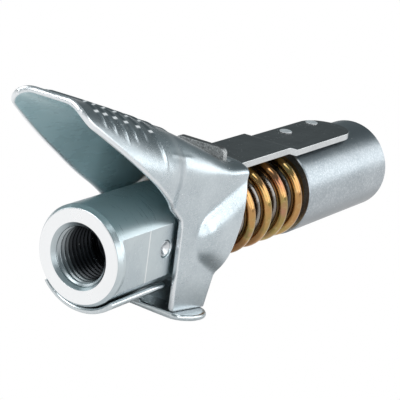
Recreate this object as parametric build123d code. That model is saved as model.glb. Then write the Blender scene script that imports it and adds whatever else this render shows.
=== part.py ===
from build123d import *
import math
import os

# Lever operated grease coupler adapter, millimetres.
# +X runs from the threaded face (X = 0) to the nozzle mouth, +Z points at the thumb pad, Y is the width.

# Inlet body
BODY_R = 8.0
BODY_LENGTH = 20.4
FACE_CHAMFER_LENGTH = 0.8
FACE_CHAMFER_DEPTH = 0.53
THREAD_BORE_R = 4.35
MOUTH_RIM_R = 5.31
FLAT_DEPTH = 1.24
FLAT_START = 1.4
FLAT_END = 15.1
RELIEF_DEPTH = 0.36
BARREL_SOCKET_START = 12.5

# Lock pins, one in each flat
PIN_R = 1.3
PIN_X = 13.4
PIN_Z = 0.25
PIN_DEPTH_IN_BARREL = 0.6
PIN_RECESS = 0.15

# Barrel
BARREL_END = 70.0
REAR_BORE_R = 2.4
REAR_BORE_END = 22.0
MIDDLE_BORE_R = 1.5
PISTON_BORE_R = 2.6
PISTON_BORE_START = 52.0
HEAD_STEP = 1.1
HEAD_LENGTH = 2.4
JAW_GROOVE_DEPTH = 0.9
JAW_GROOVE_WIDTH = 2.1
SEAL_GROOVE_X = 16.6
SEAL_GROOVE_WIDTH = 1.7
SEAL_WIRE_R = 0.62

# Check valve
CHECK_SEAT_LENGTH = 2.4
CHECK_SEAT_R = 3.95
CHECK_ORIFICE_R = 1.4
CHECK_BALL_R = 2.0
CHECK_WIRE_R = 0.25

# Spring seat, the ring whose two ears carry the lever
SEAT_LENGTH = 6.1
SEAT_STEP = 0.2
SEAT_HUB_R = 6.9
SEAT_HUB_LENGTH = 1.3
PIVOT_X = 23.6
PIVOT_Z = 0.6
EAR_TIP_R = 1.75

# Coil ends, in turns and in wire diameters
CLOSED_TURNS = 0.75
CLOSED_PITCH = 1.15
COIL_BLEND = 0.25
COIL_STEPS = 12
SMALL_SPRING_TURNS = 4.0

# Release spring, as wide as the body
SPRING_WIRE_R = 1.0
SPRING_BORE_GAP = 0.4
SPRING_TURNS = 6.0
SPRING_START_ANGLE = 60.0

# Sleeve
SLEEVE_STEP = 0.2
SLEEVE_WALL = 1.3
SLEEVE_START = 55.2
SLEEVE_END = 83.7
THROAT_STEP = 0.8
THROAT_LENGTH = 1.3
CONE_LENGTH = 6.0
CONE_SLOPE = 0.2
SLEEVE_EDGE = 0.4
BUSH_LENGTH = 4.0

# Jaws
JAW_COUNT = 4
JAW_GAP = 0.9
JAW_SHANK_STEP = 0.5
JAW_BORE_R = 3.75
JAW_LIP_R = 3.1
JAW_MOUTH_R = 4.6
JAW_LIP_BACK = 2.0
JAW_FRONT_RECESS = 0.3
EXPANDER_X = 74.3
EXPANDER_WIRE_R = 0.4
EXPANDER_R = 4.05
EXPANDER_GAP_DEG = 25.0

# Floating seal
PISTON_LENGTH = 11.0
PISTON_FLANGE_R = 3.3
PISTON_FLANGE_LENGTH = 1.2
PISTON_TRAVEL = 0.7
PISTON_BORE = 1.0
NOZZLE_SEAL_R = 3.2
NOZZLE_SEAL_LENGTH = 5.3
NOZZLE_SEAL_MOUTH_R = 2.2
SEAL_SPRING_WIRE_R = 0.35

# Draw bar
BAR_THICKNESS = 1.2
BAR_HALF_WIDTH = 4.86
BAR_FLAT_DEPTH = 0.5
BAR_RISE = 0.8
BAR_FRONT = 29.7
BAR_JOGGLE_START = 51.5
BAR_JOGGLE_END = 54.0
BAR_LIP_RISE = 3.5
BAR_BEND_R = 0.9
BAR_END = 76.06
RIVET_R = 0.8
RIVET_HEAD_R = 1.15
RIVET_HEAD_HEIGHT = 0.3
RIVET_PLACES = ((62.3, 2.6), (72.2, 3.0))

# Lever, a pressed sheet
SHEET = 1.0
LEVER_TILT = 16.7
CHEEK_STEP = 0.3
PAD_HALF_WIDTH = 10.0
PAD_FRONT = -10.75
CROWN_CLEARANCE = 0.25
CHEEK_FRONT = 15.2
CHEEK_REAR = 24.5
CHEEK_BOTTOM_SLOPE = 8.9
REAR_BEND = (26.5, -6.1)
RIM_BEND = (4.64, 12.86)
PAD_TIP_Z = 24.55
TIP_CORNER_R = 3.0
CHEEK_TOP = 4.5
CHEEK_REAR_TOP = 10.0
CROWN_REAR = 33.5
OUTLINE_R = 0.6
SLOT_FRONT_GAP = 0.4
SLOT_REAR_GAP = 0.2
SLOT_SIDE_GAP = 0.34
BULGE_HEIGHT = 1.05
BULGE_NOSE_R = 4.0
BULGE_HALF_ANGLE = 26.5
BULGE_DROOP = 7.0
FIRST_SECTION = -24
LAST_SECTION = 36
SECTION_STEP = 3

# Stop plate, a second pressed sheet under the cheeks
PLATE_TAB_HALF_WIDTH = 10.8
PLATE_TAB_LENGTH = 6.5
CRADLE_FRONT = 1.0
CRADLE_END = 14.8
CRADLE_HALF_ANGLE = 47.0
CRADLE_DROP = 1.2
NECK_HALF_WIDTH = 2.0
BULKHEAD_GAP = 0.15
BULKHEAD_STEP = 0.1

# Clearances
RUNNING = 0.05
CLOSE = 0.25
PRESS = 0.02
JAW_REST_GAP = 0.15
SMALL_GAP = 0.1

# Widths and radii that follow from the body's
FLAT_HALF_WIDTH = BODY_R - FLAT_DEPTH
RELIEF_HALF_WIDTH = FLAT_HALF_WIDTH - RELIEF_DEPTH
SEAT_R = BODY_R - SEAT_STEP
SPRING_OUTER_R = BODY_R
SPRING_MEAN_R = SPRING_OUTER_R - SPRING_WIRE_R
BARREL_R = SPRING_MEAN_R - SPRING_WIRE_R - SPRING_BORE_GAP
SLEEVE_R = BODY_R + SLEEVE_STEP
SLEEVE_BORE_R = SLEEVE_R - SLEEVE_WALL
THROAT_R = SLEEVE_BORE_R - THROAT_STEP
JAW_SHANK_R = THROAT_R - JAW_SHANK_STEP
HEAD_R = BARREL_R - HEAD_STEP
JAW_GROOVE_R = HEAD_R - JAW_GROOVE_DEPTH
CRADLE_R = BODY_R + CLOSE
BULKHEAD_R = BODY_R - BULKHEAD_STEP

# Other sizes that follow from the ones above
SEAT_END = BODY_LENGTH + SEAT_LENGTH
JAW_GROOVE_END = BARREL_END - HEAD_LENGTH
JAW_GROOVE_START = JAW_GROOVE_END - JAW_GROOVE_WIDTH
CONE_START = SLEEVE_END - CONE_LENGTH
THROAT_START = CONE_START - THROAT_LENGTH
CHAMBER_END = THROAT_START - (SLEEVE_BORE_R - THROAT_R)
PISTON_FLANGE_START = BARREL_END + PISTON_TRAVEL + CLOSE
PISTON_START = PISTON_FLANGE_START - PISTON_LENGTH
PISTON_END = PISTON_FLANGE_START + PISTON_FLANGE_LENGTH
CHEEK_HALF_WIDTH = BODY_R + CHEEK_STEP
CHEEK_INNER = CHEEK_HALF_WIDTH - SHEET
CHEEK_BOTTOM = -CRADLE_R - SHEET - CRADLE_DROP
SEAT_FLAT_HALF_WIDTH = CHEEK_INNER - CLOSE
CHEEK_LOSS = PAD_HALF_WIDTH - CHEEK_HALF_WIDTH
BAR_LOW_Z = SLEEVE_R - BAR_FLAT_DEPTH
BAR_TOP_Z = BAR_LOW_Z + BAR_RISE + BAR_THICKNESS
BAR_LIP_TOP = BAR_TOP_Z + BAR_LIP_RISE
SLOT_START = BAR_FRONT - SLOT_FRONT_GAP
SLOT_END = BAR_FRONT + BAR_THICKNESS + SLOT_REAR_GAP
SLOT_HALF_WIDTH = BAR_HALF_WIDTH + SLOT_SIDE_GAP
TILT = math.radians(LEVER_TILT)
CROWN_HEIGHT = CROWN_REAR * math.sin(TILT) + (BAR_TOP_Z + CROWN_CLEARANCE) * math.cos(TILT) + SHEET

# Lever stations along the tilted spine: crown height over that of its rear edge, and the section's sizes
CROWN_RISE = ((-24, 3.1), (-9, 2.57), (2, 2.12), (10, 1.44), (18, 0.34), (24, -0.56), (29, 0.0), (36, 0.9))
TOP_HALF_WIDTH = ((-24, 3.2), (-12, 2.4), (2, 1.2), (14, 2.9), (24, 3.6), (36, 3.3))
SHOULDER_DEPTH = ((-24, 7.2), (2, 8.5), (14, 5.5), (24, 2.2), (36, 1.9))
WIDTH_LOSS = ((-24, 1.6), (-8, 0.2), (1, 0.0), (6, 0.5), (10, CHEEK_LOSS), (18, CHEEK_LOSS), (36, CHEEK_LOSS))
FAR = 60.0


def turned(*profile):
    """Solid of revolution about the X axis from (x, radius) points."""
    return revolve(Plane.XZ * Polygon(*profile, align=None), Axis.X)


def rod(radius, start, end):
    """Cylinder along X from start to end."""
    return Pos((start + end) / 2, 0, 0) * Rot(0, 90, 0) * Cylinder(radius, end - start)


def block(x0, x1, y0, y1, z0, z1):
    """Box between two corners."""
    return Pos((x0 + x1) / 2, (y0 + y1) / 2, (z0 + z1) / 2) * Box(x1 - x0, y1 - y0, z1 - z0)


def cross_rod(radius, x, z, y0, y1):
    """Cylinder along Y through (x, z)."""
    return Pos(x, (y0 + y1) / 2, z) * Rot(90, 0, 0) * Cylinder(radius, abs(y1 - y0))


def coil(mean_r, wire_r, start, end, turns, start_angle=0.0):
    """Right-handed compression spring between two X planes, its end turns wound closer than the rest."""
    length = end - start - 2 * wire_r
    closed_pitch = 2 * wire_r * CLOSED_PITCH
    open_turns = turns - 2 * CLOSED_TURNS
    open_pitch = (length - 2 * CLOSED_TURNS * closed_pitch) / open_turns
    points = []
    x = start + wire_r
    for step in range(int(turns * COIL_STEPS) + 1):
        turn = step / COIL_STEPS
        angle = math.radians(start_angle) + turn * 2 * math.pi
        points.append((x, mean_r * math.cos(angle), mean_r * math.sin(angle)))
        middle = turn + 0.5 / COIL_STEPS
        from_end = min(middle, turns - middle) - CLOSED_TURNS
        rise = min(1.0, max(0.0, (from_end + COIL_BLEND) / (2 * COIL_BLEND)))
        x += (closed_pitch + (open_pitch - closed_pitch) * rise) / COIL_STEPS
    path = Spline(*points)
    ring = Plane(origin=path @ 0, z_dir=path % 0) * Circle(wire_r)
    return sweep(ring, path)


def check_seat_start():
    """X where the threaded bore ends and the seat ring's pocket begins."""
    return BARREL_SOCKET_START - CHECK_SEAT_LENGTH


def inlet_body():
    """Round body: threaded bore in front, barrel socket behind, two flats and two relieved sides."""
    mouth_depth = MOUTH_RIM_R - THREAD_BORE_R
    body = turned(
        (0, MOUTH_RIM_R),
        (0, BODY_R - FACE_CHAMFER_DEPTH),
        (FACE_CHAMFER_LENGTH, BODY_R),
        (BODY_LENGTH, BODY_R),
        (BODY_LENGTH, BARREL_R + PRESS),
        (BARREL_SOCKET_START, BARREL_R + PRESS),
        (BARREL_SOCKET_START, CHECK_SEAT_R + PRESS),
        (check_seat_start(), CHECK_SEAT_R + PRESS),
        (check_seat_start(), THREAD_BORE_R),
        (mouth_depth, THREAD_BORE_R),
    )
    for side in (-1, 1):
        near, far = sorted((side * FLAT_HALF_WIDTH, side * FAR))
        body -= block(FLAT_START, FLAT_END, near, far, -BODY_R, BODY_R)
        near, far = sorted((side * RELIEF_HALF_WIDTH, side * FAR))
        body -= block(FLAT_END, BODY_LENGTH, near, far, -BODY_R, BODY_R)
        body -= cross_rod(PIN_R + PRESS, PIN_X, PIN_Z, 0, side * BODY_R)
    return body


def pin_span():
    """Inner and outer |Y| of a lock pin."""
    return BARREL_R - PIN_DEPTH_IN_BARREL, FLAT_HALF_WIDTH - PIN_RECESS


def lock_pins():
    """Two short round pins that lock the barrel in the body."""
    inner, outer = pin_span()
    return [cross_rod(PIN_R, PIN_X, PIN_Z, side * inner, side * outer) for side in (-1, 1)]


def barrel():
    """Tube from the body to the jaws, with seal groove, jaw groove and a headed end."""
    groove_r = BARREL_R - PRESS - 2 * SEAL_WIRE_R
    half_groove = SEAL_GROOVE_WIDTH / 2
    tube = turned(
        (BARREL_SOCKET_START, REAR_BORE_R),
        (BARREL_SOCKET_START, BARREL_R),
        (SEAL_GROOVE_X - half_groove, BARREL_R),
        (SEAL_GROOVE_X - half_groove, groove_r),
        (SEAL_GROOVE_X + half_groove, groove_r),
        (SEAL_GROOVE_X + half_groove, BARREL_R),
        (JAW_GROOVE_START, BARREL_R),
        (JAW_GROOVE_START, JAW_GROOVE_R),
        (JAW_GROOVE_END, JAW_GROOVE_R),
        (JAW_GROOVE_END, HEAD_R),
        (BARREL_END, HEAD_R),
        (BARREL_END, PISTON_BORE_R),
        (PISTON_BORE_START, PISTON_BORE_R),
        (PISTON_BORE_START, MIDDLE_BORE_R),
        (REAR_BORE_END, MIDDLE_BORE_R),
        (REAR_BORE_END, REAR_BORE_R),
    )
    inner, _ = pin_span()
    for side in (-1, 1):
        tube -= cross_rod(PIN_R + PRESS, PIN_X, PIN_Z, side * (inner - PRESS), side * BODY_R)
    return tube


def barrel_seal():
    """O-ring in the barrel's groove."""
    return Pos(SEAL_GROOVE_X, 0, 0) * Rot(0, 90, 0) * Torus(BARREL_R - SEAL_WIRE_R, SEAL_WIRE_R)


def check_seat():
    """Ring in a pocket at the bottom of the threaded bore that the ball closes."""
    return turned(
        (check_seat_start(), CHECK_ORIFICE_R),
        (check_seat_start(), CHECK_SEAT_R),
        (BARREL_SOCKET_START, CHECK_SEAT_R),
        (BARREL_SOCKET_START, CHECK_ORIFICE_R),
    )


def ball_centre():
    """X of the check ball's centre, a small gap off the orifice edge."""
    return BARREL_SOCKET_START + math.sqrt(CHECK_BALL_R**2 - CHECK_ORIFICE_R**2) + SMALL_GAP


def check_ball():
    return Pos(ball_centre(), 0, 0) * Sphere(CHECK_BALL_R)


def check_spring():
    """Small spring behind the ball."""
    mean_r = MIDDLE_BORE_R + CHECK_WIRE_R
    ball_back = ball_centre() + math.sqrt(CHECK_BALL_R**2 - mean_r**2) + 2 * CHECK_WIRE_R
    return coil(mean_r, CHECK_WIRE_R, ball_back, REAR_BORE_END, SMALL_SPRING_TURNS)


def bulge_outline(radius):
    """Fan in the XZ plane: a round nose about the pivot with two straight sides opening to the rear."""
    upper = math.radians(BULGE_HALF_ANGLE - BULGE_DROOP)
    lower = math.radians(-BULGE_HALF_ANGLE - BULGE_DROOP)
    axis = math.radians(-BULGE_DROOP)
    reach = CROWN_REAR - PIVOT_X + BULGE_NOSE_R
    top = (PIVOT_X - radius * math.sin(upper), PIVOT_Z + radius * math.cos(upper))
    bottom = (PIVOT_X + radius * math.sin(lower), PIVOT_Z - radius * math.cos(lower))
    nose = (PIVOT_X - radius * math.cos(axis), PIVOT_Z - radius * math.sin(axis))
    top_end = (top[0] + reach * math.cos(upper), top[1] + reach * math.sin(upper))
    bottom_end = (bottom[0] + reach * math.cos(lower), bottom[1] + reach * math.sin(lower))
    edges = [
        Line(top_end, top),
        ThreePointArc(top, nose, bottom),
        Line(bottom, bottom_end),
        Line(bottom_end, top_end),
    ]
    return make_face(edges)


def bulge(base_r, base_y, height):
    """Tapered fan from |Y| = base_y outwards on the near side, its 45 degree flanks rooted in the sheet."""
    root = SHEET / 2
    base = Plane((0, root - base_y, 0), x_dir=(1, 0, 0), z_dir=(0, -1, 0)) * bulge_outline(base_r + root)
    tip = Plane((0, -base_y - height, 0), x_dir=(1, 0, 0), z_dir=(0, -1, 0)) * bulge_outline(base_r - height)
    return loft([base, tip], ruled=True)


def spring_seat():
    """Ring behind the body with flat sides and two tapered ears that the lever rocks on."""
    ring = turned(
        (BODY_LENGTH, BARREL_R + PRESS),
        (BODY_LENGTH, SEAT_HUB_R),
        (BODY_LENGTH + SEAT_HUB_LENGTH, SEAT_HUB_R),
        (BODY_LENGTH + SEAT_HUB_LENGTH, SEAT_R),
        (SEAT_END, SEAT_R),
        (SEAT_END, BARREL_R + PRESS),
    )
    ear_reach = BULGE_HEIGHT
    for side in (-1, 1):
        near, far = sorted((side * SEAT_FLAT_HALF_WIDTH, side * FAR))
        ring -= block(BODY_LENGTH, SEAT_END, near, far, -SEAT_R, SEAT_R)
        ear = Cone(EAR_TIP_R + ear_reach, EAR_TIP_R, ear_reach)
        middle = SEAT_FLAT_HALF_WIDTH + ear_reach / 2
        ring += Pos(PIVOT_X, side * middle, PIVOT_Z) * Rot(-90 * side, 0, 0) * ear
    return ring


def release_spring():
    """Main spring between the seat and the sleeve."""
    return coil(SPRING_MEAN_R, SPRING_WIRE_R, SEAT_END, SLEEVE_START, SPRING_TURNS, SPRING_START_ANGLE)


def bar_footprint(clearance):
    """Plan outline of the draw bar: parallel sides and a fully round end."""
    half_width = BAR_HALF_WIDTH + clearance
    centre = BAR_END - BAR_HALF_WIDTH
    straight = Pos((BAR_FRONT + centre) / 2, 0) * Rectangle(centre - BAR_FRONT, 2 * half_width)
    return straight + Pos(centre, 0) * Circle(half_width)


def sleeve():
    """Outer tube: wide chamber, narrow throat and a cone that opens to the mouth, with a flat for the bar."""
    mouth_r = THROAT_R + CONE_LENGTH * CONE_SLOPE
    tube = turned(
        (SLEEVE_START, SLEEVE_BORE_R),
        (SLEEVE_START, SLEEVE_R - SLEEVE_EDGE / 2),
        (SLEEVE_START + SLEEVE_EDGE / 2, SLEEVE_R),
        (SLEEVE_END - SLEEVE_EDGE, SLEEVE_R),
        (SLEEVE_END, SLEEVE_R - SLEEVE_EDGE),
        (SLEEVE_END, mouth_r),
        (CONE_START, THROAT_R),
        (THROAT_START, THROAT_R),
        (CHAMBER_END, SLEEVE_BORE_R),
    )
    flat = Pos(0, 0, BAR_LOW_Z) * extrude(bar_footprint(SMALL_GAP), amount=FAR)
    tube -= flat
    for x, y in RIVET_PLACES:
        tube -= Pos(x, y, BODY_R) * Cylinder(RIVET_R + PRESS, 2 * BODY_R - PISTON_BORE_R)
    return tube


def sleeve_bush():
    """Guide bush pressed in the sleeve's rear, running on the barrel."""
    return turned(
        (SLEEVE_START, BARREL_R + RUNNING),
        (SLEEVE_START, SLEEVE_BORE_R),
        (SLEEVE_START + BUSH_LENGTH, SLEEVE_BORE_R),
        (SLEEVE_START + BUSH_LENGTH, BARREL_R + RUNNING),
    )


def jaws():
    """Collet jaws: hooked at the rear in the barrel's groove, conical outside, lipped at the mouth."""
    hook_start = JAW_GROOVE_START + CLOSE
    hook_end = JAW_GROOVE_END - CLOSE
    jaw_end = SLEEVE_END - JAW_FRONT_RECESS
    lip = jaw_end - JAW_LIP_BACK
    cone_gap = JAW_REST_GAP
    outer_end = THROAT_R - cone_gap + (jaw_end - CONE_START) * CONE_SLOPE
    lip_rise = JAW_BORE_R - JAW_LIP_R
    groove_half = EXPANDER_WIRE_R + CLOSE
    groove_r = EXPANDER_R + EXPANDER_WIRE_R + SMALL_GAP
    ring = turned(
        (hook_start, JAW_GROOVE_R + CLOSE),
        (hook_start, JAW_SHANK_R),
        (CONE_START - 2 * cone_gap, JAW_SHANK_R),
        (CONE_START, THROAT_R - cone_gap),
        (jaw_end, outer_end),
        (jaw_end, JAW_MOUTH_R),
        (jaw_end - (JAW_MOUTH_R - JAW_LIP_R) / 2, JAW_LIP_R),
        (lip, JAW_LIP_R),
        (lip - lip_rise, JAW_BORE_R),
        (EXPANDER_X + groove_half, JAW_BORE_R),
        (EXPANDER_X + groove_half, groove_r),
        (EXPANDER_X - groove_half, groove_r),
        (EXPANDER_X - groove_half, JAW_BORE_R),
        (BARREL_END + JAW_GAP, JAW_BORE_R),
        (BARREL_END + JAW_GAP, HEAD_R + CLOSE),
        (hook_end, HEAD_R + CLOSE),
        (hook_end, JAW_GROOVE_R + CLOSE),
    )
    step = 360 / JAW_COUNT
    cut = block(hook_start, jaw_end, 0, FAR, -JAW_GAP / 2, JAW_GAP / 2)
    for k in range(JAW_COUNT):
        ring -= Rot(step * k, 0, 0) * cut
    parts = {}
    for solid in ring.solids():
        centre = solid.center()
        turn = math.degrees(math.atan2(centre.Z, centre.Y)) % 360
        parts[f"jaw_{int(turn // step) + 1}"] = solid
    return parts


def jaw_expander():
    """Split wire ring in the jaws' inner groove, which springs them open."""
    ring = Torus(EXPANDER_R, EXPANDER_WIRE_R)
    gap_width = 2 * EXPANDER_R * math.sin(math.radians(EXPANDER_GAP_DEG / 2))
    gap = Pos(EXPANDER_R, 0, 0) * Box(EXPANDER_R, gap_width, EXPANDER_R)
    return Pos(EXPANDER_X, 0, 0) * Rot(0, 90, 0) * (ring - gap)


def seal_piston():
    """Headed tube that slides in the barrel and carries the rubber cup."""
    return turned(
        (PISTON_START, PISTON_BORE),
        (PISTON_START, PISTON_BORE_R - RUNNING),
        (PISTON_FLANGE_START, PISTON_BORE_R - RUNNING),
        (PISTON_FLANGE_START, PISTON_FLANGE_R),
        (PISTON_END, PISTON_FLANGE_R),
        (PISTON_END, PISTON_BORE),
    )


def nozzle_seal():
    """Rubber cup with a flared bore that meets the grease fitting."""
    return turned(
        (PISTON_END, PISTON_BORE),
        (PISTON_END, NOZZLE_SEAL_R),
        (PISTON_END + NOZZLE_SEAL_LENGTH, NOZZLE_SEAL_R),
        (PISTON_END + NOZZLE_SEAL_LENGTH, NOZZLE_SEAL_MOUTH_R),
        (PISTON_END + NOZZLE_SEAL_LENGTH / 2, PISTON_BORE),
    )


def seal_spring():
    """Spring behind the floating seal."""
    mean_r = PISTON_BORE_R - SEAL_SPRING_WIRE_R - SMALL_GAP
    return coil(mean_r, SEAL_SPRING_WIRE_R, PISTON_BORE_START, PISTON_START, SMALL_SPRING_TURNS)


def draw_bar():
    """Strip with an upturned lip, a long raised part, a joggle and a round end on the sleeve's flat."""
    low = BAR_LOW_Z + BAR_THICKNESS / 2
    high = low + BAR_RISE
    lip_x = BAR_FRONT + BAR_THICKNESS / 2
    path = FilletPolyline(
        (lip_x, BAR_LIP_TOP),
        (lip_x, high),
        (BAR_JOGGLE_START, high),
        (BAR_JOGGLE_END, low),
        (BAR_END, low),
        radius=BAR_BEND_R,
    )
    side = trace(path, line_width=BAR_THICKNESS)
    strip = extrude(Plane.XZ * side, amount=BAR_HALF_WIDTH, both=True)
    strip &= extrude(bar_footprint(0), amount=FAR)
    lip_corners = strip.edges().filter_by(Axis.X).group_by(Axis.Z)[-1]
    if len(lip_corners) == 2:
        strip = fillet(lip_corners, BAR_THICKNESS)
    for x, y in RIVET_PLACES:
        strip -= Pos(x, y, BODY_R) * Cylinder(RIVET_R + PRESS, BODY_R)
    return strip


def draw_bar_rivets():
    """Low headed rivets through the strip and the sleeve's wall."""
    top = BAR_LOW_Z + BAR_THICKNESS
    rivets = []
    for x, y in RIVET_PLACES:
        foot = math.sqrt(SLEEVE_BORE_R**2 - y**2)
        shank = Pos(x, y, (foot + top) / 2) * Cylinder(RIVET_R, top - foot)
        head = Pos(x, y, top + RIVET_HEAD_HEIGHT / 2) * Cylinder(RIVET_HEAD_R, RIVET_HEAD_HEIGHT)
        rivets.append(shank + head)
    return rivets


def arch(half_width, top_half_width, crown, depth):
    """Arch of a section, right to left: a level top joined to both walls by quarter ellipses."""
    shoulder = crown - depth
    reach = half_width - top_half_width
    turn = math.sqrt(0.5)
    right = Spline(
        (half_width, shoulder),
        (top_half_width + reach * turn, shoulder + depth * turn),
        (top_half_width, crown),
        tangents=[(0, 1), (-1, 0)],
    )
    top = Line((top_half_width, crown), (-top_half_width, crown))
    left = Spline(
        (-top_half_width, crown),
        (-top_half_width - reach * turn, shoulder + depth * turn),
        (-half_width, shoulder),
        tangents=[(-1, 0), (0, -1)],
    )
    return [right, top, left]


def lever_section(along, half_width, top_half_width, crown, depth):
    """Cross-section of the pressed sheet square to the tilted spine: an arch over two straight walls."""
    plane = Plane(
        (along * math.cos(TILT), 0, -along * math.sin(TILT)),
        x_dir=(0, 1, 0),
        z_dir=(math.cos(TILT), 0, -math.sin(TILT)),
    )
    inner_width = half_width - SHEET
    shoulder = crown - depth
    floor = -FAR / 2
    outer = arch(half_width, top_half_width, crown, depth)
    inner = arch(inner_width, top_half_width, crown - SHEET, depth - SHEET)
    walls = [
        Polyline(
            (side * half_width, shoulder),
            (side * half_width, floor),
            (side * inner_width, floor),
            (side * inner_width, shoulder),
        )
        for side in (-1, 1)
    ]
    return plane * make_face([*outer, *inner, *walls])


def between(stations, along):
    """Smooth curve through stations: cubic pieces whose slope at a station is that of its two neighbours."""
    last = len(stations) - 1
    k = max(i for i in range(last) if stations[i][0] <= along or i == 0)
    slopes = []
    for i in (k, k + 1):
        before, after = stations[max(i - 1, 0)], stations[min(i + 1, last)]
        slopes.append((after[1] - before[1]) / (after[0] - before[0]))
    (start, first), (end, second) = stations[k], stations[k + 1]
    span = end - start
    t = (along - start) / span
    rise = t * t * (3 - 2 * t)
    lean = t * (1 - t) * ((1 - t) * slopes[0] - t * slopes[1]) * span
    return first + (second - first) * rise + lean


def lever_sizes(along):
    """Half-width, level top, crown height and shoulder depth of the sheet at a place along the spine."""
    half_width = PAD_HALF_WIDTH - between(WIDTH_LOSS, along)
    crown = CROWN_HEIGHT + between(CROWN_RISE, along)
    return half_width, between(TOP_HALF_WIDTH, along), crown, between(SHOULDER_DEPTH, along)


def lever_form():
    """Loft through evenly spaced sections from ahead of the pad's tip to behind the crown."""
    places = range(FIRST_SECTION, LAST_SECTION + SECTION_STEP, SECTION_STEP)
    return loft([lever_section(along, *lever_sizes(along)) for along in places])


def lever_outline():
    """Side outline of the lever: pad rim, cheek front, sloping bottom edge and leaning rear edge."""
    bottom_rear = CHEEK_BOTTOM - (CHEEK_REAR - CHEEK_FRONT) * math.tan(math.radians(CHEEK_BOTTOM_SLOPE))
    outline = FilletPolyline(
        (PAD_FRONT, FAR),
        (PAD_FRONT, PAD_TIP_Z),
        RIM_BEND,
        (CHEEK_FRONT, CHEEK_TOP),
        (CHEEK_FRONT, CHEEK_BOTTOM),
        (CHEEK_REAR, bottom_rear),
        REAR_BEND,
        (CROWN_REAR, CHEEK_REAR_TOP),
        (CROWN_REAR + SHEET, FAR),
        radius=(0, TIP_CORNER_R, *[OUTLINE_R] * 6, 0),
        close=True,
    )
    return extrude(Plane.XZ * make_face(outline), amount=FAR / 2, both=True)


def lever():
    """Pressed sheet lever: thumb pad, two cheeks with pockets for the seat's ears, slotted crown."""
    hollow_r = BULGE_NOSE_R - SHEET * (math.sqrt(2) - 1)
    skin = bulge(BULGE_NOSE_R, CHEEK_HALF_WIDTH, BULGE_HEIGHT)
    hollow = bulge(hollow_r, CHEEK_INNER, BULGE_HEIGHT)
    shell = lever_form()
    for pad in (skin, mirror(skin, Plane.XZ)):
        shell += pad
    shell &= lever_outline()
    for pocket in (hollow, mirror(hollow, Plane.XZ)):
        shell -= pocket
    return shell - block(SLOT_START, SLOT_END, -SLOT_HALF_WIDTH, SLOT_HALF_WIDTH, BODY_R, FAR)


def stop_plate():
    """Plate under the cheeks: a rounded tab each side, a cradle under the body and a bulkhead behind it."""
    slope = CHEEK_BOTTOM_SLOPE
    fall, run = math.sin(math.radians(slope)), math.cos(math.radians(slope))
    plane = Plane((CHEEK_FRONT, 0, CHEEK_BOTTOM), x_dir=(run, 0, -fall), z_dir=(fall, 0, run))
    length = (CHEEK_REAR - CHEEK_FRONT) / run
    floor = Pos(length / 2, 0) * Rectangle(length, 2 * CHEEK_HALF_WIDTH)
    tab_r = PLATE_TAB_LENGTH / 2
    for side in (-1, 1):
        floor += Pos(tab_r, side * (PLATE_TAB_HALF_WIDTH - tab_r)) * Circle(tab_r)
    plate = extrude(plane * floor, amount=-SHEET)
    cradle = rod(CRADLE_R + SHEET, CRADLE_FRONT, CRADLE_END) - rod(CRADLE_R, CRADLE_FRONT, CRADLE_END)
    for side in (-1, 1):
        turn = side * CRADLE_HALF_ANGLE
        cradle -= Rot(turn, 0, 0) * block(CRADLE_FRONT, CRADLE_END, *sorted((0, side * FAR)), -FAR, FAR)
    cradle -= block(CRADLE_FRONT, CRADLE_END, -FAR, FAR, 0, FAR)
    neck = Polygon(
        (CRADLE_END - 1.5, -CRADLE_R - 0.1),
        (CRADLE_END - 0.5, -CRADLE_R - 0.1),
        (CHEEK_FRONT + 1.4, CHEEK_BOTTOM - 0.3),
        (CHEEK_FRONT + 1.4, CHEEK_BOTTOM - SHEET),
        (CHEEK_FRONT, CHEEK_BOTTOM - SHEET),
        (CRADLE_END - 1.5, -CRADLE_R - SHEET + 0.1),
        align=None,
    )
    wall_start = BODY_LENGTH + BULKHEAD_GAP
    half_width = CHEEK_INNER - RUNNING
    foot = CHEEK_BOTTOM - (wall_start + SHEET - CHEEK_FRONT) * fall / run - SHEET / 2
    wall = block(wall_start, wall_start + SHEET, -half_width, half_width, foot, -BULKHEAD_R / 2)
    wall -= rod(BULKHEAD_R, CRADLE_FRONT, SEAT_END)
    return plate + wall + cradle + extrude(Plane.XZ * neck, amount=NECK_HALF_WIDTH, both=True)


def write(name, shape):
    """One STEP file per node, several solids together where a node groups them."""
    solids = [s for item in (shape if isinstance(shape, list) else [shape]) for s in item.solids()]
    export_step(solids[0] if len(solids) == 1 else Compound(children=solids), f"parts/{name}.step")


os.makedirs("parts", exist_ok=True)
for maker in (
    inlet_body,
    lock_pins,
    barrel,
    barrel_seal,
    check_seat,
    check_ball,
    check_spring,
    spring_seat,
    release_spring,
    sleeve,
    sleeve_bush,
    jaw_expander,
    seal_piston,
    nozzle_seal,
    seal_spring,
    draw_bar,
    draw_bar_rivets,
    lever,
    stop_plate,
):
    write(maker.__name__, maker())
for jaw_name, jaw in jaws().items():
    write(jaw_name, jaw)
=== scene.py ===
"""Grease coupler adapter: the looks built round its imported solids.

Shapes are worked out in millimetres, in the frame of the solids, and become metres when a mesh is made.
"""
import math

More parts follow.
